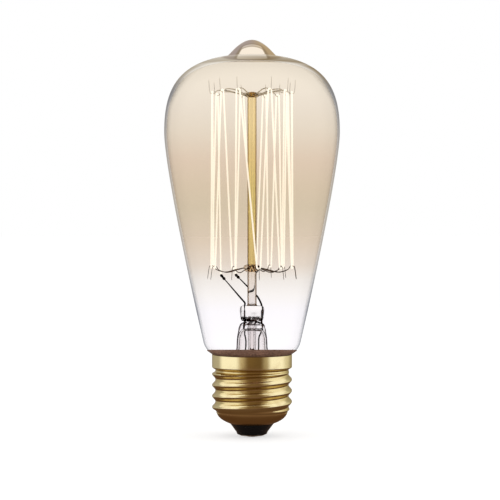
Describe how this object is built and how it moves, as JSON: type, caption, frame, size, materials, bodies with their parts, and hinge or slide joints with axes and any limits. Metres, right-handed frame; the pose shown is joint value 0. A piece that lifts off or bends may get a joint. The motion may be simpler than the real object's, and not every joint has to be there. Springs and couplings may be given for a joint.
{
  "type": "filament light bulb",
  "caption": "Teardrop amber glass filament lamp with a zigzag cage of upright strands on a glass stem and a medium brass screw cap.",
  "frame": {"origin": "middle of the worn flat under the centre contact, on the lamp's axis", "axes": "+Z along the lamp's axis from the contact to the glass pip, +Y away from the viewer of the picture, +X to the right"},
  "size_m": [0.058, 0.058, 0.1309],
  "materials": {
    "amber_glass": "blown glass, amber tint fading to clear towards the cap",
    "clear_glass": "clear flame-worked glass",
    "rod_glass": "clear glass rod that glows golden beside the filament",
    "bead_glass": "amber-brown fused glass",
    "filament": "coiled tungsten, glowing",
    "support_wire": "dark drawn molybdenum wire",
    "clamp_steel": "blackened nickel-iron",
    "lead_wire": "darkened nickel wire",
    "seal_wire": "copper-clad wire, dark red where it is sealed in glass",
    "outer_wire": "tinned wire",
    "cap_brass": "bright rolled brass, plain and unstamped",
    "black_glass": "glossy black opaque glass",
    "contact_metal": "dull plated disc",
    "solder": "grey solder, slightly rough",
    "cement": "dark brown baked capping cement"
  },
  "bodies": {
    "root": {"bulb_glass": "amber_glass", "stem_flare": "clear_glass", "stem_press": "clear_glass", "exhaust_tube": "clear_glass", "arbor_rod": "rod_glass", "top_bead": "bead_glass", "lower_bead": "bead_glass", "filament": "filament", "clamp_left": "clamp_steel", "clamp_right": "clamp_steel", "inner_lead_left": "lead_wire", "inner_lead_right": "lead_wire", "seal_wire_left": "seal_wire", "seal_wire_right": "seal_wire", "centre_lead": "outer_wire", "side_lead": "outer_wire", "cap_shell": "cap_brass", "cap_insulator": "black_glass", "contact_plate": "contact_metal", "contact_solder": "solder", "rim_solder": "solder", "cement_ring": "cement", "top_support_1": "support_wire", "top_support_2": "support_wire", "top_support_3": "support_wire", "top_support_4": "support_wire", "top_support_5": "support_wire", "top_support_6": "support_wire", "top_support_7": "support_wire", "top_support_8": "support_wire", "top_support_9": "support_wire", "top_support_10": "support_wire", "top_support_11": "support_wire", "lower_support_1": "support_wire", "lower_support_2": "support_wire", "lower_support_3": "support_wire", "lower_support_4": "support_wire", "lower_support_5": "support_wire", "lower_support_6": "support_wire", "lower_support_7": "support_wire", "lower_support_8": "support_wire", "lower_support_9": "support_wire", "lower_support_10": "support_wire"}
  },
  "joints": []
}
